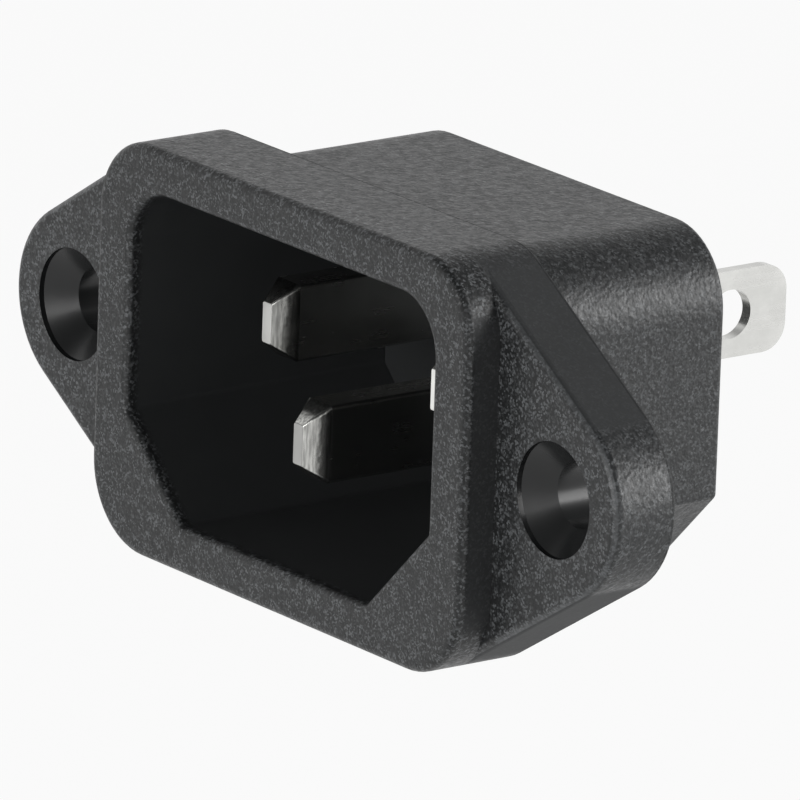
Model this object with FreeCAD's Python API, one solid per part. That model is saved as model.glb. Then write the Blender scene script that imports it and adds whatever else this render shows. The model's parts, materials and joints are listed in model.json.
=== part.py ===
import FreeCAD, Part
import math
import os

# C14 panel inlet socket, screw-mounted, as four separate pieces.
# Frame: +X to the right seen from the front, +Y to the rear, +Z up.
# Origin: midway between the two screw holes, on the flange's rear face (the panel plane).

V = FreeCAD.Vector

# Screw fixing
SCREW_PITCH = 40.0
SCREW_HOLE_R = 1.65
SINK_R = 2.9
SINK_LAND = 0.3
EAR_R = 5.0

# Flange (the plate with the two ears) and the raised bezel in front of it
FLANGE_T = 3.7
FRONT_TOP = 10.55
FRONT_BOTTOM = -10.65
BEZEL_FRONT_Y = -5.65
BEZEL_HALF_W = 15.4
TOP_CORNER_R = 3.85
LOW_CORNER_R = 4.3
EDGE_R = 0.45
REAR_EDGE_R = 0.3

# Body behind the panel
BODY_DEPTH = 11.82
BODY_HALF_W = 13.25
BODY_TOP = 9.46
BODY_BOTTOM = -9.16
BODY_CORNER_R = 3.95
BODY_CHAMFER = 5.28

# Socket cavity, open to the front, with the keying chamfers at the bottom
CAVITY_HALF_W = 12.62
CAVITY_HALF_H = 8.24
CAVITY_CORNER_R = 2.87
CAVITY_CHAMFER = 4.91
CAVITY_FLOOR_Y = 10.4
CAVITY_DRAFT = 0.2
RIM_R = 0.35
SOFT_R = 0.4

# Contacts: a 4 x 2 mm blade, a stem through the rear wall, a solder tab in a shallow pocket
BLADE_W = 2.0
BLADE_H = 4.0
BLADE_EDGE_R = 0.2
TIP_W = 0.7
TIP_H = 2.07
TIP_LENGTH = 1.3
TIP_EDGE_R = 0.1
STEM_W = 1.6
STEM_H = 2.4
TAB_T = 0.65
TAB_H = 4.5
TAB_CORNER_R = 1.4
TAB_END_Y = 20.35
TAB_HOLE_R = 1.27
TAB_HOLE_FROM_END = 3.5
POCKET_DEPTH = 0.5
POCKET_GAP = 0.5

POLE_X = 7.0
POLE_Z = 1.88
POLE_TIP_Y = -1.15
POLE_TAB_RISE = 1.42
EARTH_Z = -2.19
EARTH_TIP_Y = -4.21
EARTH_TAB_RISE = 0.0

# Each contact: x, z of the blade's middle, y of its tip, rise of its tab above the blade
CONTACTS = {
    "left_contact": (-POLE_X, POLE_Z, POLE_TIP_Y, POLE_TAB_RISE),
    "right_contact": (POLE_X, POLE_Z, POLE_TIP_Y, POLE_TAB_RISE),
    "earth_contact": (0.0, EARTH_Z, EARTH_TIP_Y, EARTH_TAB_RISE),
}


def rounded_wire(corners, y):
    """Closed wire in the plane Y = y through (x, z, radius) corners, each rounded by its radius."""
    edges = []
    starts = []
    ends = []
    count = len(corners)
    for i in range(count):
        x, z, radius = corners[i]
        here = V(x, y, z)
        before = V(corners[i - 1][0], y, corners[i - 1][1]) - here
        after = V(corners[(i + 1) % count][0], y, corners[(i + 1) % count][1]) - here
        before.normalize()
        after.normalize()
        half = before.getAngle(after) / 2.0
        reach = radius / math.tan(half)
        start = here + before * reach
        end = here + after * reach
        inward = before + after
        inward.normalize()
        middle = here + inward * (radius / math.sin(half) - radius)
        starts.append(start)
        ends.append(end)
        edges.append(Part.Arc(start, middle, end).toShape())
    for i in range(count):
        edges.append(Part.LineSegment(ends[i], starts[(i + 1) % count]).toShape())
    return Part.Wire(Part.__sortEdges__(edges))


def prism(wire, depth):
    """Solid made by extruding a closed wire along +Y."""
    return Part.Face(wire).extrude(V(0, depth, 0))


def block(x_range, y_range, z_range):
    """Axis-aligned box from three (low, high) pairs."""
    size = [high - low for low, high in (x_range, y_range, z_range)]
    return Part.makeBox(*size, V(x_range[0], y_range[0], z_range[0]))


def edges_at_y(shape, y, keep=None):
    """Edges of a shape that lie wholly in the plane Y = y, optionally filtered by their centre."""
    found = []
    for edge in shape.Edges:
        box = edge.BoundBox
        if abs(box.YMin - y) < 1e-4 and abs(box.YMax - y) < 1e-4:
            if keep is None or keep(edge):
                found.append(edge)
    return found


def make_bezel():
    """Raised frame, carried back into the flange, with a rounded front edge."""
    w = BEZEL_HALF_W
    corners = [
        (-w, FRONT_BOTTOM, LOW_CORNER_R),
        (w, FRONT_BOTTOM, LOW_CORNER_R),
        (w, FRONT_TOP, TOP_CORNER_R),
        (-w, FRONT_TOP, TOP_CORNER_R),
    ]
    frame = prism(rounded_wire(corners, BEZEL_FRONT_Y), -FLANGE_T / 2.0 - BEZEL_FRONT_Y)
    return frame.makeFillet(EDGE_R, edges_at_y(frame, BEZEL_FRONT_Y))


def ear_tangent(centre_x, centre_z, radius):
    """Touching points (x, z) of the line laid outside a bezel corner's circle and the right ear's."""
    dx = SCREW_PITCH / 2.0 - centre_x
    swing = math.acos((radius - EAR_R) / math.hypot(dx, centre_z))
    angle = math.atan2(-centre_z, dx) + math.copysign(swing, centre_z)
    across, up = math.cos(angle), math.sin(angle)
    return [
        (centre_x + radius * across, centre_z + radius * up),
        (SCREW_PITCH / 2.0 + EAR_R * across, EAR_R * up),
    ]


def make_flange():
    """Flat plate that wraps the bezel's corners and runs out to two round ears."""
    y = -FLANGE_T
    ear_tip = SCREW_PITCH / 2.0 + EAR_R
    top_x, top_z = BEZEL_HALF_W - TOP_CORNER_R, FRONT_TOP - TOP_CORNER_R
    low_x, low_z = BEZEL_HALF_W - LOW_CORNER_R, FRONT_BOTTOM + LOW_CORNER_R
    top_leave, top_touch = ear_tangent(top_x, top_z, TOP_CORNER_R)
    low_leave, low_touch = ear_tangent(low_x, low_z, LOW_CORNER_R)
    edges = []
    for side in (1, -1):

        def p(x, z):
            return V(side * x, y, z)

        def bend(centre_x, centre_z, radius, leave):
            """Arc from the flat run to the point where the ear's line leaves the corner."""
            flat_z = centre_z + math.copysign(radius, centre_z)
            half = math.atan2(leave[0] - centre_x, abs(leave[1] - centre_z)) / 2.0
            mid_z = centre_z + math.copysign(radius * math.cos(half), centre_z)
            middle = p(centre_x + radius * math.sin(half), mid_z)
            return Part.Arc(p(centre_x, flat_z), middle, p(*leave))

        edges += [
            bend(top_x, top_z, TOP_CORNER_R, top_leave),
            Part.LineSegment(p(*top_leave), p(*top_touch)),
            Part.Arc(p(*top_touch), p(ear_tip, 0), p(*low_touch)),
            Part.LineSegment(p(*low_touch), p(*low_leave)),
            bend(low_x, low_z, LOW_CORNER_R, low_leave),
        ]
    edges.append(Part.LineSegment(V(-top_x, y, FRONT_TOP), V(top_x, y, FRONT_TOP)))
    edges.append(Part.LineSegment(V(-low_x, y, FRONT_BOTTOM), V(low_x, y, FRONT_BOTTOM)))
    plate = prism(Part.Wire(Part.__sortEdges__([edge.toShape() for edge in edges])), FLANGE_T)
    plate = plate.makeFillet(EDGE_R, edges_at_y(plate, y))
    return plate.makeFillet(REAR_EDGE_R, edges_at_y(plate, 0.0))


def make_body():
    """Box behind the panel: rounded top corners, chamfered bottom corners, softened rear edge."""
    w, c = BODY_HALF_W, BODY_CHAMFER
    corners = [
        (-w + c, BODY_BOTTOM, SOFT_R),
        (w - c, BODY_BOTTOM, SOFT_R),
        (w, BODY_BOTTOM + c, SOFT_R),
        (w, BODY_TOP, BODY_CORNER_R),
        (-w, BODY_TOP, BODY_CORNER_R),
        (-w, BODY_BOTTOM + c, SOFT_R),
    ]
    body = prism(rounded_wire(corners, 0), BODY_DEPTH)
    return body.makeFillet(REAR_EDGE_R, edges_at_y(body, BODY_DEPTH))


def cavity_wire(inset, y):
    """Outline of the socket cavity, moved inwards by inset, in the plane Y = y."""
    w, h, c = CAVITY_HALF_W - inset, CAVITY_HALF_H - inset, CAVITY_CHAMFER
    corners = [
        (-w + c, -h, SOFT_R),
        (w - c, -h, SOFT_R),
        (w, -h + c, SOFT_R),
        (w, h, CAVITY_CORNER_R),
        (-w, h, CAVITY_CORNER_R),
        (-w, -h + c, SOFT_R),
    ]
    return rounded_wire(corners, y)


def make_cavity():
    """The space that the connector enters, narrowing slightly to its floor."""
    mouth = cavity_wire(0.0, BEZEL_FRONT_Y)
    floor = cavity_wire(CAVITY_DRAFT, CAVITY_FLOOR_Y)
    return Part.makeLoft([mouth, floor], True, True)


def make_screw_hole(x):
    """Countersunk screw hole: a short land, a 90 degree cone, then the clearance bore."""
    front = -FLANGE_T
    cone_depth = SINK_R - SCREW_HOLE_R
    along = V(0, 1, 0)
    land = Part.makeCylinder(SINK_R, SINK_LAND + 1.0, V(x, front - 1.0, 0), along)
    cone = Part.makeCone(SINK_R, SCREW_HOLE_R, cone_depth, V(x, front + SINK_LAND, 0), along)
    bore = Part.makeCylinder(SCREW_HOLE_R, FLANGE_T + 2.0, V(x, front, 0), along)
    return land.fuse([cone, bore])


def contact_stem(x, z, rise):
    """The contact's narrow part, inside the rear wall."""
    middle = z + rise / 2.0
    return block(
        (x - STEM_W / 2.0, x + STEM_W / 2.0),
        (CAVITY_FLOOR_Y, BODY_DEPTH - POCKET_DEPTH),
        (middle - STEM_H / 2.0, middle + STEM_H / 2.0),
    )


def tab_pocket(x, z):
    """Shallow recess in the rear face, around the root of a solder tab."""
    return block(
        (x - TAB_T / 2.0 - POCKET_GAP, x + TAB_T / 2.0 + POCKET_GAP),
        (BODY_DEPTH - POCKET_DEPTH, BODY_DEPTH + 1.0),
        (z - TAB_H / 2.0 - POCKET_GAP, z + TAB_H / 2.0 + POCKET_GAP),
    )


def blade_wire(x, z, width, height, radius, y):
    """Outline of a blade's section, its four long edges rounded by radius."""
    corners = []
    for side_x, side_z in ((-1, -1), (1, -1), (1, 1), (-1, 1)):
        corners.append((x + side_x * width / 2.0, z + side_z * height / 2.0, radius))
    return rounded_wire(corners, y)


def make_blade(x, z, tip_y):
    """Upright blade with a four-sided taper down to its small flat end."""
    shoulder_y = tip_y + TIP_LENGTH
    end = blade_wire(x, z, TIP_W, TIP_H, TIP_EDGE_R, tip_y)
    shoulder = blade_wire(x, z, BLADE_W, BLADE_H, BLADE_EDGE_R, shoulder_y)
    tip = Part.makeLoft([end, shoulder], True, True)
    return tip.fuse(prism(shoulder, CAVITY_FLOOR_Y - shoulder_y))


def make_tab(x, z):
    """Solder tab: thin upright plate with rounded end corners and a wire hole."""
    tab = block(
        (x - TAB_T / 2.0, x + TAB_T / 2.0),
        (BODY_DEPTH - POCKET_DEPTH, TAB_END_Y),
        (z - TAB_H / 2.0, z + TAB_H / 2.0),
    )
    corners = []
    for edge in edges_at_y(tab, TAB_END_Y):
        if edge.BoundBox.ZLength < 1e-4:
            corners.append(edge)
    tab = tab.makeFillet(TAB_CORNER_R, corners)
    hole_at = V(x - TAB_T, TAB_END_Y - TAB_HOLE_FROM_END, z)
    return tab.cut(Part.makeCylinder(TAB_HOLE_R, 2.0 * TAB_T, hole_at, V(1, 0, 0)))


def make_contact(x, z, tip_y, rise):
    """One contact, from its blade tip in the cavity to its solder tab at the rear."""
    blade = make_blade(x, z, tip_y)
    return blade.fuse([contact_stem(x, z, rise), make_tab(x, z + rise)]).removeSplitter()


def make_housing():
    """The single moulding: bezel, flange and body, with the cavity, screw holes and slots cut."""
    shell = make_bezel().fuse([make_flange(), make_body()]).removeSplitter()
    shell = shell.cut(make_cavity())

    def on_rim(edge):
        box = edge.BoundBox
        return max(abs(box.XMin), abs(box.XMax)) < CAVITY_HALF_W + 0.01

    shell = shell.makeFillet(RIM_R, edges_at_y(shell, BEZEL_FRONT_Y, on_rim))
    for side in (-1, 1):
        shell = shell.cut(make_screw_hole(side * SCREW_PITCH / 2.0))
    for x, z, _, rise in CONTACTS.values():
        shell = shell.cut(contact_stem(x, z, rise).fuse(tab_pocket(x, z + rise)))
    return shell


def main():
    """Build the four pieces, report them and write one STEP file each."""
    os.makedirs("parts", exist_ok=True)
    pieces = {"housing": make_housing()}
    for node, place in CONTACTS.items():
        pieces[node] = make_contact(*place)
    for node, shape in pieces.items():
        solids = len(shape.Solids)
        print(node, "solids", solids, "valid", shape.isValid(), "volume", round(shape.Volume, 2))
        if solids != 1:
            raise RuntimeError(node + " is not one solid")
        shape.Solids[0].exportStep("parts/" + node + ".step")


main()
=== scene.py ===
"""Looks of a screw-mounted panel inlet socket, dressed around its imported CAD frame.

The CAD solids stay as they are. The script gives each of them its finish, and sets up the
camera, the pale floor and the studio light around them. Lengths are in metres.
"""

from __future__ import annotations

import json
import logging
import math
from dataclasses import dataclass
from enum import Enum
from typing import Any, Mapping

import bpy
from mathutils import Matrix, Vector

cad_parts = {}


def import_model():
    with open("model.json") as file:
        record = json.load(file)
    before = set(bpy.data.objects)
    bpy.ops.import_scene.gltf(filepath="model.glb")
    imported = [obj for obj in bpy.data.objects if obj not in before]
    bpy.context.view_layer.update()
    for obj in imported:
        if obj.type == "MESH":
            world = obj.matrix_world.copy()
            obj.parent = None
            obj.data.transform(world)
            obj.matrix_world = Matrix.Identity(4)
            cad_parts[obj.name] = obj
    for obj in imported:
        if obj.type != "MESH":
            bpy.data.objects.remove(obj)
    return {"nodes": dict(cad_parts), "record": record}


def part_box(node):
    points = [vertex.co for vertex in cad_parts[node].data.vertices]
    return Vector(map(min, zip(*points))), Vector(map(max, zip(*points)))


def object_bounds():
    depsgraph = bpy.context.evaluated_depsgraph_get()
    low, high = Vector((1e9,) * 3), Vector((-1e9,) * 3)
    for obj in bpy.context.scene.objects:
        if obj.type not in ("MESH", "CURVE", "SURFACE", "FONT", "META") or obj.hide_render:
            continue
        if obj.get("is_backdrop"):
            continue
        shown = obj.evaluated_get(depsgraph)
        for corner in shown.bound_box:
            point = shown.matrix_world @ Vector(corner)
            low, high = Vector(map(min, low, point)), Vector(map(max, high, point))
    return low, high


Triple = tuple[float, float, float]
Colour = tuple[float, float, float, float]
Span = tuple[float, float]
Ramp = tuple[Span, Span]

LOG = logging.getLogger("inlet")
MM = 0.001
WHITE: Colour = (1.0, 1.0, 1.0, 1.0)
RISE: Span = (0.0, 1.0)
FALL: Span = (1.0, 0.0)

# Values between which nearly all of a noise lies.
NOISE_SPAN: Span = (0.3, 0.7)

# Distances within which a point counts as on a face, for tight masks and for loose ones.
HAIR = 0.02 * MM
SLACK = 0.1 * MM


class Slot(Enum):
    """Material slots of the record."""

    MOULDING = "moulding"
    PLATED = "plated_contact"


class Socket:
    """A shader output, on which Python's operators add Math nodes."""

    def __init__(self, graph: Graph, link: bpy.types.NodeSocket | None) -> None:
        """Wrap one output.

        Args:
            graph: The node graph that new nodes go into.
            link: The output, or None for a node that has none.
        """
        self.graph = graph
        self.link = link

    def _math(self, operation: str, *values: Operand) -> Socket:
        """Add a Math node.

        Args:
            operation: Blender's name of the operation.
            values: Its inputs, in order.

        Returns:
            The node's result.
        """
        settings = {"operation": operation}
        return self.graph.node("ShaderNodeMath", settings, dict(enumerate(values)))

    def __add__(self, other: Operand) -> Socket:
        """Sum."""
        return self._math("ADD", self, other)

    def __sub__(self, other: Operand) -> Socket:
        """Difference."""
        return self._math("SUBTRACT", self, other)

    def __rsub__(self, other: Operand) -> Socket:
        """Reflected difference."""
        return self._math("SUBTRACT", other, self)

    def __mul__(self, other: Operand) -> Socket:
        """Product."""
        return self._math("MULTIPLY", self, other)

    def __truediv__(self, other: Operand) -> Socket:
        """Quotient."""
        return self._math("DIVIDE", self, other)

    def __pow__(self, other: Operand) -> Socket:
        """Power."""
        return self._math("POWER", self, other)

    def __lt__(self, other: Operand) -> Socket:
        """One where this value is the smaller, else nought."""
        return self._math("LESS_THAN", self, other)

    def __gt__(self, other: Operand) -> Socket:
        """One where this value is the larger, else nought."""
        return self._math("GREATER_THAN", self, other)

    def __abs__(self) -> Socket:
        """Absolute value."""
        return self._math("ABSOLUTE", self)

    def step(self, span: Span, result: Span = RISE) -> Socket:
        """Ramp smoothly from one result to another.

        Args:
            span: Values between which the ramp runs.
            result: What it gives up to the first of them, and from the second on.

        Returns:
            The ramp's value.
        """
        settings = {"interpolation_type": "SMOOTHSTEP"}
        values = {0: self, 1: span[0], 2: span[1], 3: result[0], 4: result[1]}
        return self.graph.node("ShaderNodeMapRange", settings, values)


Operand = Socket | float


class Graph:
    """A node tree with one method that makes any node."""

    def __init__(self, tree: bpy.types.NodeTree) -> None:
        """Take over a node tree and empty it.

        Args:
            tree: The tree to fill.
        """
        self.tree = tree
        tree.nodes.clear()

    def node(
        self,
        kind: str,
        settings: Mapping[str, Any] | None = None,
        values: Mapping[int | str, Any] | None = None,
        output: int | str = 0,
    ) -> Socket:
        """Add a node of any type.

        Args:
            kind: Blender's type name.
            settings: Properties, set first.
            values: Numbers, colours or sockets, by input name or number.
            output: Name or number of the output to return.

        Returns:
            The chosen output, or an empty socket for a node with none.
        """
        made = self.tree.nodes.new(kind)
        for name, value in (settings or {}).items():
            setattr(made, name, value)
        for name, value in (values or {}).items():
            if isinstance(value, Socket):
                self.tree.links.new(value.link, made.inputs[name])
            else:
                made.inputs[name].default_value = value
        return Socket(self, made.outputs[output] if len(made.outputs) else None)

    def position(self) -> Socket:
        """Object coordinates of the shaded point."""
        return self.node("ShaderNodeTexCoord", output="Object")

    def split(self, vector: Socket) -> tuple[Socket, Socket, Socket]:
        """Separate a vector into its three parts.

        Args:
            vector: The vector.

        Returns:
            Its X, Y and Z.
        """
        x, y, z = self.node("ShaderNodeSeparateXYZ", values={0: vector}).link.node.outputs
        return Socket(self, x), Socket(self, y), Socket(self, z)

    def noise(
        self, vector: Socket, size: float, detail: float = 2.0, roughness: float = 0.5
    ) -> Socket:
        """Smooth random pattern from nought to one.

        Args:
            vector: Where to read it.
            size: Rough size of its features.
            detail: Octaves of finer features.
            roughness: Strength of the finer features.

        Returns:
            The pattern's value.
        """
        values = {"Vector": vector, "Scale": 1.0 / size, "Detail": detail, "Roughness": roughness}
        return self.node("ShaderNodeTexNoise", values=values)

    def vary(self, vector: Socket, size: float, result: Span, detail: float = 2.0) -> Socket:
        """Smooth random pattern over a range of its own.

        Args:
            vector: Where to read it.
            size: Rough size of its features.
            result: The pattern's lowest and highest value.
            detail: Octaves of finer features.

        Returns:
            The pattern's value.
        """
        return self.noise(vector, size, detail).step(NOISE_SPAN, result)

    def cells(self, vector: Socket, size: float) -> Socket:
        """Random value in each of many small cells.

        Args:
            vector: Where to read them.
            size: Size of a cell.

        Returns:
            The cell's value.
        """
        values = {"Vector": vector, "Scale": 1.0 / size}
        return self.node("ShaderNodeTexVoronoi", values=values, output="Color")

    def stretch(self, vector: Socket, scale: Triple) -> Socket:
        """Scale a vector unevenly.

        Args:
            vector: The vector.
            scale: Factor along X, Y and Z.

        Returns:
            The scaled vector.
        """
        return self.node("ShaderNodeMapping", values={"Vector": vector, "Scale": scale})

    def shade(self, tint: Any, factor: Socket) -> Socket:
        """Lighten or darken a colour.

        Args:
            tint: Three numbers or a socket.
            factor: What each part is multiplied by.

        Returns:
            The changed colour.
        """
        values = {0: tint, "Scale": factor}
        return self.node("ShaderNodeVectorMath", {"operation": "SCALE"}, values)

    def mix(self, factor: Socket, first: Any, second: Any) -> Socket:
        """Blend two colours.

        Args:
            factor: Nought gives the first, one gives the second.
            first: A colour or a socket.
            second: A colour or a socket.

        Returns:
            The blended colour.
        """
        settings = {"data_type": "RGBA"}
        return self.node("ShaderNodeMix", settings, {0: factor, 6: first, 7: second}, output=2)

    def bump(self, height: Socket, depth: float) -> Socket:
        """Turn a height into a normal.

        Args:
            height: The height, about nought to one.
            depth: How deep a height of one is.

        Returns:
            The bumped normal.
        """
        values = {"Strength": 1.0, "Distance": depth, "Height": height}
        return self.node("ShaderNodeBump", values=values)

    def principled(self, values: Mapping[int | str, Any]) -> None:
        """Close a material's graph with a Principled shader.

        Args:
            values: The shader's inputs.
        """
        shader = self.node("ShaderNodeBsdfPrincipled", values=values)
        self.node("ShaderNodeOutputMaterial", values={"Surface": shader})


def colour(red: float, green: float, blue: float) -> Colour:
    """Opaque colour from its three linear parts."""
    return (red, green, blue, 1.0)


def near(place: float, span: Span) -> Span:
    """Span that is counted from a place."""
    return (place + span[0], place + span[1])


def blank_material(name: str) -> tuple[bpy.types.Material, Graph]:
    """New material with its empty graph."""
    made = bpy.data.materials.new(name)
    made.use_nodes = True
    return made, Graph(made.node_tree)


@dataclass(frozen=True)
class Regions:
    """Masks of the housing, each one on its place and nought elsewhere.

    Attributes:
        polished: The countersinks.
        socket: The socket's walls and floor, fading at its rim.
        outside: All the rest.
        smooth: Of the outside, the sides that have hardly any grain.
        grainy: How much of the grain shows.
        ear_edges: The ears' front edges.
        bezel_edges: The bezel's front edges at its ends.
        rear_edges: The flange's rear edges, which get painted shade and more roughness.
        front: The flange's front face and what lies ahead of it.
        walls: What lies ahead of the socket's floor.
    """

    polished: Socket
    socket: Socket
    outside: Socket
    smooth: Socket
    grainy: Socket
    ear_edges: Socket
    bezel_edges: Socket
    rear_edges: Socket
    front: Socket
    walls: Socket


@dataclass(frozen=True)
class HousingPlaces:
    """Where the housing's faces lie, and where its finishes fade into each other."""

    screw_x: float
    mouth_y: float
    flange_y: float = -3.7 * MM
    floor_y: float = 10.4 * MM
    sink_radius: float = 2.9 * MM
    socket_half_width: float = 12.62 * MM
    socket_half_height: float = 8.24 * MM
    bezel_half_width: float = 15.4 * MM
    slope_start: float = 13.6 * MM
    slope_end: float = 22.7 * MM

    # Width and height of the socket's corners together, at the chamfered ones at the bottom,
    # and how much more it is at the rounded ones at the top.
    chamfered_corner: float = 16.5 * MM
    rounded_gain: float = 3.2 * MM

    # Fades, each counted from the face or the edge beside it.
    rim_fade: Span = (0.3 * MM, 1.0 * MM)
    slope_fade_in: Span = (-1.2 * MM, 0.6 * MM)
    slope_fade_out: Span = (-0.2 * MM, 0.5 * MM)
    slope_face_fade: Span = (0.14 * MM, 0.24 * MM)
    end_fade: Span = (-0.5 * MM, -0.05 * MM)
    end_rim_fade: Span = (0.3 * MM, 0.5 * MM)
    edge_fade_in: Span = (0.01 * MM, 0.05 * MM)
    edge_fade_out: Span = (0.16 * MM, 0.24 * MM)
    rear_fade: Span = (-0.34 * MM, -0.26 * MM)
    rear_end: float = -0.004 * MM

    # The edge bands start this far outside the bezel on the ears, and inside it on the bezel.
    ear_edge_gap: float = 0.3 * MM
    bezel_edge_reach: float = 0.8 * MM

    # Share of the grain that the smooth sides lack.
    smooth_loss: float = 0.85

    def regions(self, graph: Graph, here: Socket) -> Regions:
        """Make all the masks.

        Args:
            graph: The material's graph.
            here: Object coordinates.

        Returns:
            The masks.
        """
        x, y, z = graph.split(here)
        across = abs(x)
        polished = self._countersinks(across, y, z)
        socket = self._socket(across, y, z)
        outside = (1.0 - polished) * (1.0 - socket)
        smooth = self._smooth_sides(across, y) * outside
        on_ears = across > self.bezel_half_width + self.ear_edge_gap
        on_bezel = across > self.bezel_half_width - self.bezel_edge_reach
        return Regions(
            polished=polished,
            socket=socket,
            outside=outside,
            smooth=smooth,
            grainy=(1.0 - smooth * self.smooth_loss) * outside,
            ear_edges=self._edge(y, self.flange_y) * on_ears * outside,
            bezel_edges=self._edge(y, self.mouth_y) * on_bezel * outside,
            rear_edges=y.step(self.rear_fade) * (y < self.rear_end) * outside,
            front=y < self.flange_y + SLACK,
            walls=y < self.floor_y - SLACK,
        )

    def _countersinks(self, across: Socket, y: Socket, z: Socket) -> Socket:
        """Mask of the countersinks.

        Args:
            across: Distance from the middle, sideways.
            y: Place along the depth.
            z: Height.

        Returns:
            One inside the countersinks, else nought.
        """
        off_axis = across - self.screw_x
        radius = (off_axis * off_axis + z * z) ** 0.5
        recessed = (y > self.flange_y + HAIR) * (y < -SLACK)
        return (radius < self.sink_radius + HAIR) * recessed

    def _socket(self, across: Socket, y: Socket, z: Socket) -> Socket:
        """Mask of the socket's walls and floor.

        Args:
            across: Distance from the middle, sideways.
            y: Place along the depth.
            z: Height.

        Returns:
            One inside the socket, fading to nought at its rim.
        """
        wide = across < self.socket_half_width + HAIR
        high = abs(z) < self.socket_half_height + HAIR
        corner = (z > 0.0) * self.rounded_gain + self.chamfered_corner
        within = wide * high * (across + abs(z) < corner)
        return within * y.step(near(self.mouth_y, self.rim_fade)) * (y < self.floor_y + SLACK)

    def _smooth_sides(self, across: Socket, y: Socket) -> Socket:
        """Mask of the ears' sloping sides and the bezel's ends.

        Args:
            across: Distance from the middle, sideways.
            y: Place along the depth.

        Returns:
            One on these sides, fading to nought at the rounds beside them.
        """
        slopes = across.step(near(self.slope_start, self.slope_fade_in))
        slopes = slopes * across.step(near(self.slope_end, self.slope_fade_out), FALL)
        slopes = slopes * y.step(near(self.flange_y, self.slope_face_fade)) * (y < -HAIR)
        ends = across.step(near(self.bezel_half_width, self.end_fade))
        ends = ends * y.step(near(self.mouth_y, self.end_rim_fade)) * (y < self.flange_y - HAIR)
        return slopes + ends

    def _edge(self, y: Socket, face: float) -> Socket:
        """Mask of the narrow rounding just behind a front face.

        Args:
            y: Place along the depth.
            face: Where the face lies.

        Returns:
            One on the rounding, fading to nought on both sides.
        """
        return y.step(near(face, self.edge_fade_in)) * y.step(near(face, self.edge_fade_out), FALL)


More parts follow.
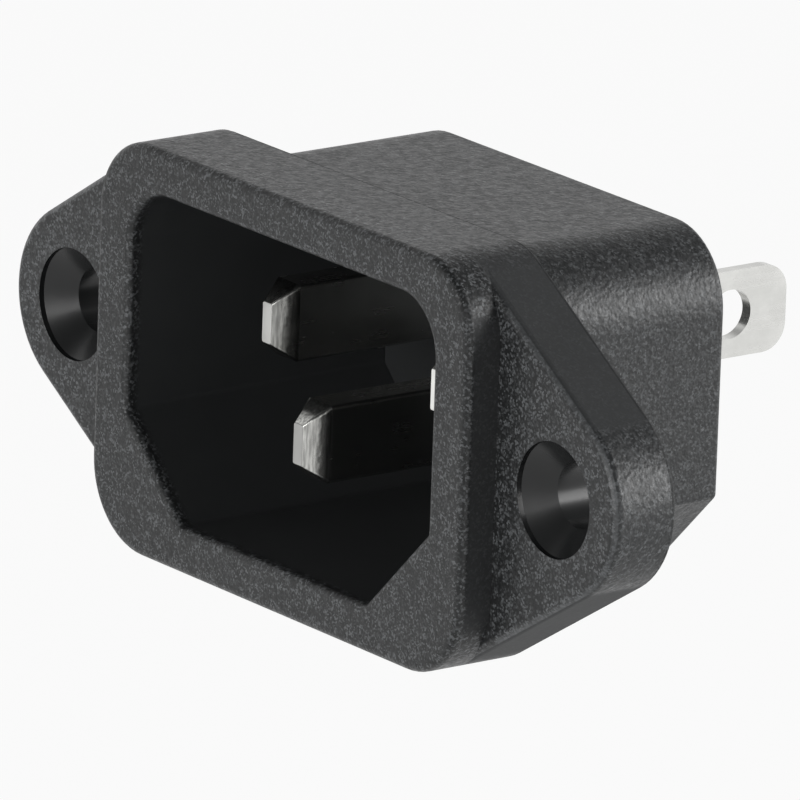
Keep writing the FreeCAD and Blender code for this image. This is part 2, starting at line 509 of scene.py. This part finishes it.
@dataclass(frozen=True)
class MouldedPlastic:
    """Black glass-filled plastic: grainy outside, smooth in the socket and the countersinks."""

    places: HousingPlaces
    base: Triple = (0.0165, 0.0173, 0.0177)
    fleck: Triple = (0.125, 0.131, 0.136)
    specular: float = 0.36

    # Sizes of the patterns. The scales are counted in grains.
    grain: float = 0.26 * MM
    fleck_size: float = 0.105 * MM
    cloud_size: float = 2.4 * MM
    edge_highlight_scale: float = 1.3
    mottle_scale: float = 1.5
    dull_scale: float = 1.7

    # Lowest and highest value of each pattern.
    # Span of the painted highlight on the ears' front edges.
    edge_highlight_break: Span = (0.4, 1.0)
    mottle: Span = (0.35, 1.35)
    clouds: Span = (0.9, 1.1)
    uneven: Span = (-0.05, 0.05)

    # How much of the fleck colour shows on average outside, how much more the ears' front edges
    # get as a painted highlight, how much less the rear edges get as painted shade and the smooth
    # sides get, and how
    # much shows in the socket: less than outside, and least on its floor as painted shade.
    fleck_share: float = 0.26
    edge_highlight_gain: float = 2.4
    rear_shade_loss: float = 0.5
    smooth_loss: float = 0.3
    shaded_floor_share: float = 0.12
    wall_gain_over_shaded_floor: float = 0.06

    # How strongly the flecks stand out, and how much more they do in front, where the extra is
    # painted glints.
    # Cells under the first value of the span have none.
    contrast: float = 0.75
    front_glint_gain: float = 0.6
    fleck_span: Span = (0.38, 1.0)

    # Roughness, and what the dull places add to it.
    matt: float = 0.42
    polished: float = 0.27
    rear_dull: float = 0.35
    smooth_dull: float = 0.28
    bezel_dull: float = 0.3

    # Depth of the relief, its share outside, its share everywhere but in the countersinks, and
    # what the front edges lack of it.
    relief_depth: float = 0.036 * MM
    relief_detail: float = 1.5
    relief_roughness: float = 0.45
    coarse_share: float = 0.92
    fine_share: float = 0.08
    edge_loss: float = 0.7

    def material(self) -> bpy.types.Material:
        """Build the material.

        Returns:
            The finished material.
        """
        made, graph = blank_material(Slot.MOULDING.value)
        here = graph.position()
        regions = self.places.regions(graph, here)
        graph.principled(
            {
                "Base Color": self._body(graph, here, regions),
                "Roughness": self._roughness(graph, here, regions),
                "Specular IOR Level": self.specular,
                "Normal": graph.bump(self._relief(graph, here, regions), self.relief_depth),
            }
        )
        return made

    def _body(self, graph: Graph, here: Socket, regions: Regions) -> Socket:
        """Black with clouds and flecks; the ears' front edges a little lighter as a painted
        highlight, with painted glints in front and painted shade on the rear edges and the
        socket's floor.

        Args:
            graph: The material's graph.
            here: Object coordinates.
            regions: The housing's masks.

        Returns:
            The colour.
        """
        edge_highlight_break = graph.vary(here, self.grain * self.edge_highlight_scale, self.edge_highlight_break)
        # Painted highlight: more fleck colour on the ears' front edges, broken up by noise.
        edge_highlight = regions.ear_edges * edge_highlight_break
        # Painted glints: the flecks stand out more on the front faces.
        contrast = regions.front * self.front_glint_gain + self.contrast
        flecks = (self._flecks(graph, here) - self.fleck_share) * contrast * regions.grainy
        share = regions.outside + edge_highlight * self.edge_highlight_gain
        # Painted shade: less fleck colour on the flange's rear edges.
        share = share - regions.rear_edges * self.rear_shade_loss - regions.smooth * self.smooth_loss
        # In the socket less fleck colour shows than outside, and least on its floor, as painted
        # shade.
        inside = regions.walls * self.wall_gain_over_shaded_floor + self.shaded_floor_share
        flecks = flecks + share * self.fleck_share + regions.socket * inside
        clouds = graph.vary(here, self.cloud_size, self.clouds, 3.0)
        return graph.mix(flecks, graph.shade(self.base, clouds), colour(*self.fleck))

    def _flecks(self, graph: Graph, here: Socket) -> Socket:
        """Glass flecks close under the surface.

        Args:
            graph: The material's graph.
            here: Object coordinates.

        Returns:
            How much fleck colour shows.
        """
        grains = graph.cells(here, self.fleck_size).step(self.fleck_span)
        return grains * graph.vary(here, self.grain * self.mottle_scale, self.mottle)

    def _roughness(self, graph: Graph, here: Socket, regions: Regions) -> Socket:
        """Low in the countersinks, uneven and matt elsewhere, dull on edges and smooth sides.

        Args:
            graph: The material's graph.
            here: Object coordinates.
            regions: The housing's masks.

        Returns:
            The roughness.
        """
        uneven = graph.vary(here, self.grain * self.dull_scale, self.uneven, 1.0)
        dulled = uneven * regions.grainy + regions.rear_edges * self.rear_dull
        dulled = dulled + regions.smooth * self.smooth_dull
        dulled = dulled + regions.bezel_edges * self.bezel_dull
        plain = (1.0 - regions.polished) * (self.matt - self.polished) + self.polished
        return plain + dulled

    def _relief(self, graph: Graph, here: Socket, regions: Regions) -> Socket:
        """Height of the spark-eroded surface, fainter on the edges and in the socket.

        Args:
            graph: The material's graph.
            here: Object coordinates.
            regions: The housing's masks.

        Returns:
            The height, about nought to one.
        """
        edges = regions.ear_edges + regions.bezel_edges
        share = regions.grainy * (1.0 - edges * self.edge_loss) * self.coarse_share
        share = share + (1.0 - regions.polished) * self.fine_share
        return graph.noise(here, self.grain, self.relief_detail, self.relief_roughness) * share


@dataclass(frozen=True)
class Tip:
    """Places on a blade's tapered tip.

    Attributes:
        along: Nought at the end face, one where the tip reaches the blade's full size.
        pole: One on the pole contacts, nought on the earth contact.
        end: One on the end face, else nought.
        rest: One on all but the end face.
        slopes: One on the tip's slopes, else nought.
    """

    along: Socket
    pole: Socket
    end: Socket
    rest: Socket
    slopes: Socket


@dataclass(frozen=True)
class PlatedMetal:
    """Nickel-plated brass with faint stamping lines along the blade and coined, duller tips."""

    pole_tip_y: float
    earth_tip_y: float
    pole_x: float
    tip_length: float = 1.3 * MM

    # Share of the tip's length that counts as its end face.
    end_zone: float = 0.02

    # The plating, how dark its patches are, and where they start and end in their noise.
    base: Triple = (0.65, 0.65, 0.63)
    patch_tone: float = 0.88
    patch_size: float = 1.6 * MM
    patch_span: Span = (0.35, 0.7)

    # The coined slopes, their upright strokes, and how much darker they are on the poles, which is
    # painted shade.
    coined: Triple = (0.5, 0.5, 0.48)
    stroke_size: float = 0.13 * MM
    stroke_stretch: Triple = (1.0, 1.0, 0.12)
    strokes: Span = (0.6, 1.15)
    pole_slope_shade: float = 0.4

    # How light the end faces are, and how much lighter on the poles, which is a painted highlight.
    end_tone: float = 0.7
    pole_end_highlight: float = 0.7

    # Roughness, how much lines and patches vary it, and what the end faces add to it.
    roughness: float = 0.26
    uneven: float = 0.06
    end_dull: float = 0.16
    line_size: float = 0.25 * MM
    line_stretch: Triple = (1.0, 0.02, 1.0)

    # Crown of the slopes, the scuffs on it, and the height that counts as one.
    crown: float = 0.32
    scuff: float = 0.035
    scuff_size: float = 0.3 * MM
    crown_depth: float = 0.1 * MM

    def material(self) -> bpy.types.Material:
        """Build the material.

        Returns:
            The finished material.
        """
        made, graph = blank_material(Slot.PLATED.value)
        here = graph.position()
        tip = self._tip(graph, here)
        lines = graph.noise(graph.stretch(here, self.line_stretch), self.line_size, 1.0)
        patches = graph.noise(here, self.patch_size, 3.0)
        roughness = lines * self.uneven + patches * self.uneven
        roughness = roughness + tip.end * self.end_dull + (self.roughness - self.uneven)
        plate = self._plate(graph, patches, tip)
        graph.principled(
            {
                "Base Color": graph.mix(tip.slopes, plate, self._slopes(graph, here, tip)),
                "Metallic": 1.0,
                "Roughness": roughness,
                "Normal": graph.bump(self._crown(graph, here, tip), self.crown_depth),
            }
        )
        return made

    def _tip(self, graph: Graph, here: Socket) -> Tip:
        """Find a blade's tip.

        Args:
            graph: The material's graph.
            here: Object coordinates.

        Returns:
            The places on it.
        """
        x, y, _ = graph.split(here)
        pole = abs(x) > self.pole_x * 0.5
        start = pole * (self.pole_tip_y - self.earth_tip_y) + self.earth_tip_y
        along = (y - start) / self.tip_length
        rest = along > self.end_zone
        return Tip(along, pole, along < self.end_zone, rest, rest * (along < 1.0))

    def _plate(self, graph: Graph, patches: Socket, tip: Tip) -> Socket:
        """Nickel with slightly darker patches, and with a tone of its own on the end faces,
        lighter on the poles as a painted highlight.

        Args:
            graph: The material's graph.
            patches: Slow random pattern.
            tip: Places on the tip.

        Returns:
            The colour.
        """
        dark = colour(*(part * self.patch_tone for part in self.base))
        plate = graph.mix(patches.step(self.patch_span), colour(*self.base), dark)
        # Painted highlight: the poles' end faces are lighter.
        tone = (tip.pole * self.pole_end_highlight + self.end_tone) * tip.end + tip.rest
        return graph.shade(plate, tone)

    def _slopes(self, graph: Graph, here: Socket, tip: Tip) -> Socket:
        """Coined metal with upright strokes, darker on the poles as painted shade.

        Args:
            graph: The material's graph.
            here: Object coordinates.
            tip: Places on the tip.

        Returns:
            The colour.
        """
        upright = graph.stretch(here, self.stroke_stretch)
        strokes = graph.vary(upright, self.stroke_size, self.strokes)
        # Painted shade: the poles' slopes are darker.
        return graph.shade(self.coined, strokes * (1.0 - tip.pole * self.pole_slope_shade))

    def _crown(self, graph: Graph, here: Socket, tip: Tip) -> Socket:
        """Height of the slopes' crown and of the scuffs on it.

        Args:
            graph: The material's graph.
            here: Object coordinates.
            tip: Places on the tip.

        Returns:
            The height, nought off the slopes.
        """
        scuffs = graph.noise(here, self.scuff_size, 1.0) * self.scuff + self.crown
        crown = tip.along * (1.0 - tip.along) * scuffs * tip.slopes
        return crown * (self.tip_length / self.crown_depth)


@dataclass
class Inlet:
    """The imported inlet: its nodes, dressed in their finishes."""

    nodes: Mapping[str, bpy.types.Object]
    record: Mapping[str, Any]

    def dress(self) -> None:
        """Give each node the finish that the record's slot names."""
        finishes = {
            Slot.MOULDING: self._plastic().material(),
            Slot.PLATED: self._metal().material(),
        }
        for part in self.record["subparts"]:
            node = self.nodes[part["node"]]
            node.data.materials.clear()
            node.data.materials.append(finishes[Slot(part["material_slot"])])
            LOG.info("dressed %s with %s", part["node"], part["material_slot"])

    def _metal(self) -> PlatedMetal:
        """Plated finish, placed from the contacts' boxes."""
        pole_low, pole_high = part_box("right_contact")
        return PlatedMetal(
            pole_tip_y=pole_low[1],
            earth_tip_y=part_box("earth_contact")[0][1],
            pole_x=(pole_low[0] + pole_high[0]) / 2.0,
        )

    def _plastic(self) -> MouldedPlastic:
        """Plastic finish, placed from the record's screw holes and the housing's box."""
        mounts = {mount["name"]: mount for mount in self.record["mounts"]}
        places = HousingPlaces(
            screw_x=mounts["screw_holes"]["dims"]["spacing_x_mm"] * MM / 2.0,
            mouth_y=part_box("housing")[0][1],
        )
        return MouldedPlastic(places)


@dataclass(frozen=True)
class Softbox:
    """Square area lamp that points at the part, with its power in watts."""

    name: str
    place: Triple
    side: float
    power: float

    def build(self) -> None:
        """Add the lamp."""
        data = bpy.data.lights.new(self.name, "AREA")
        data.shape = "SQUARE"
        data.size = self.side
        data.energy = self.power
        lamp = bpy.data.objects.new(self.name, data)
        lamp.location = self.place
        lamp.rotation_euler = Vector(self.place).to_track_quat("Z", "Y").to_euler()
        bpy.context.scene.collection.objects.link(lamp)


@dataclass
class Studio:
    """Pale floor, white surround and soft lamps."""

    floor_drop: float = 0.09
    floor_size: float = 6.0
    floor_grey: float = 0.72

    # How far the camera and the reflections see the floor as pure white.
    floor_white: float = 0.93

    # The surround's level by height and by nearness to its dim side, and how much of pure
    # white its reflections have by height.
    horizon: Ramp = ((0.24, 0.4), (0.2, 0.9))
    ceiling: Ramp = ((0.58, 0.74), (1.0, 0.1))
    dim_side: Triple = (0.75, -0.45, 0.5)
    dimming: Ramp = ((0.1, 0.9), (1.0, 0.25))
    mirrored: Ramp = ((0.26, 0.4), (1.0, 0.0))

    softboxes: tuple[Softbox, ...] = (
        Softbox("key_softbox", (0.47, 0.56, 0.16), 0.38, 4.5),
        Softbox("front_softbox", (0.2, -0.72, 0.12), 0.36, 2.4),
    )

    def build(self, lowest: float) -> None:
        """Make the floor, the surround and the lamps.

        Args:
            lowest: Height of the part's lowest point.
        """
        self._floor(lowest - self.floor_drop)
        self._surround()
        for softbox in self.softboxes:
            softbox.build()

    def _floor(self, height: float) -> None:
        """Make the floor.

        Args:
            height: Its height.
        """
        mesh = bpy.data.meshes.new("floor")
        half = self.floor_size / 2.0
        corners = [(-half, -half), (half, -half), (half, half), (-half, half)]
        mesh.from_pydata([(x, y, height) for x, y in corners], [], [(0, 1, 2, 3)])
        mesh.materials.append(self._floor_paint())
        floor = bpy.data.objects.new("floor", mesh)
        bpy.context.scene.collection.objects.link(floor)
        floor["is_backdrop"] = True

    def _floor_paint(self) -> bpy.types.Material:
        """Pale paint that the camera and the reflections see as nearly white."""
        made, graph = blank_material("pale_floor")
        grey = colour(self.floor_grey, self.floor_grey, self.floor_grey)
        pale = graph.node("ShaderNodeBsdfDiffuse", values={"Color": grey})
        white = graph.node("ShaderNodeEmission", values={"Color": WHITE, "Strength": 1.0})
        camera, glossy, transmitted = self._ray_kinds(graph)
        factor = (camera + glossy + transmitted) * self.floor_white
        shader = graph.node("ShaderNodeMixShader", values={0: factor, 1: pale, 2: white})
        graph.node("ShaderNodeOutputMaterial", values={"Surface": shader})
        return made

    def _surround(self) -> None:
        """White surround that lights the part from a band at mid height, less on one side."""
        world = bpy.data.worlds.new("surround")
        bpy.context.scene.world = world
        world.use_nodes = True
        graph = Graph(world.node_tree)
        direction = graph.node("ShaderNodeTexCoord", output="Generated")
        up = graph.split(direction)[2]
        settings = {"operation": "DOT_PRODUCT"}
        values = {0: direction, 1: self.dim_side}
        dim = graph.node("ShaderNodeVectorMath", settings, values, output="Value")
        level = up.step(*self.horizon) * up.step(*self.ceiling) * dim.step(*self.dimming)
        camera, glossy, transmitted = self._ray_kinds(graph)
        white = camera + (glossy + transmitted) * up.step(*self.mirrored)
        strength = level * (1.0 - white) + white
        back = graph.node("ShaderNodeBackground", values={"Color": WHITE, "Strength": strength})
        graph.node("ShaderNodeOutputWorld", values={"Surface": back})

    @staticmethod
    def _ray_kinds(graph: Graph) -> tuple[Socket, Socket, Socket]:
        """Whether the ray comes from the camera, a gloss or a clear material.

        Args:
            graph: The graph that asks.

        Returns:
            Three values of nought or one.
        """
        kinds = ("Is Camera Ray", "Is Glossy Ray", "Is Transmission Ray")
        camera, glossy, transmitted = (
            graph.node("ShaderNodeLightPath", output=kind) for kind in kinds
        )
        return camera, glossy, transmitted


@dataclass
class Viewpoint:
    """Camera at the right and a little above, far enough away to flatten perspective.

    Angles are in degrees. The lens and the sensor are in millimetres.
    """

    azimuth: float = 52.805
    elevation: float = 16.05
    roll: float = 2.0
    distance: float = 0.7
    aim: Triple = (0.0010715, 0.0012072, -0.00043)
    lens: float = 637.5
    sensor: float = 36.0
    clip: Span = (0.01, 100.0)

    def build(self) -> None:
        """Add the camera and make it the scene's own."""
        data = bpy.data.cameras.new("camera")
        data.lens = self.lens
        data.sensor_width = self.sensor
        data.clip_start, data.clip_end = self.clip
        camera = bpy.data.objects.new("camera", data)
        bpy.context.scene.collection.objects.link(camera)
        towards = self._towards()
        roll = Matrix.Rotation(math.radians(self.roll), 3, "Z").to_quaternion()
        camera.location = Vector(self.aim) + towards * self.distance
        camera.rotation_euler = (towards.to_track_quat("Z", "Y") @ roll).to_euler()
        bpy.context.scene.camera = camera

    def _towards(self) -> Vector:
        """Direction from the part to the camera."""
        azimuth, elevation = math.radians(self.azimuth), math.radians(self.elevation)
        level = math.cos(elevation)
        x, y = math.sin(azimuth) * level, -math.cos(azimuth) * level
        return Vector((x, y, math.sin(elevation)))


def plain_box(bounds: Any) -> list[list[float]]:
    """Lowest and highest corners as plain lists.

    Args:
        bounds: Two corners.

    Returns:
        The corners as lists of numbers.
    """
    return [[float(value) for value in corner] for corner in bounds]


def main() -> None:
    """Load the frame, dress it, and set up the studio and the camera."""
    logging.basicConfig(level=logging.INFO, format="%(name)s: %(message)s")
    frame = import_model()
    cad_box = plain_box(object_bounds())
    Viewpoint().build()
    Inlet(frame["nodes"], frame["record"]).dress()
    Studio().build(cad_box[0][2])
    bpy.context.scene.view_settings.view_transform = "Standard"


if __name__ == "__main__":
    main()
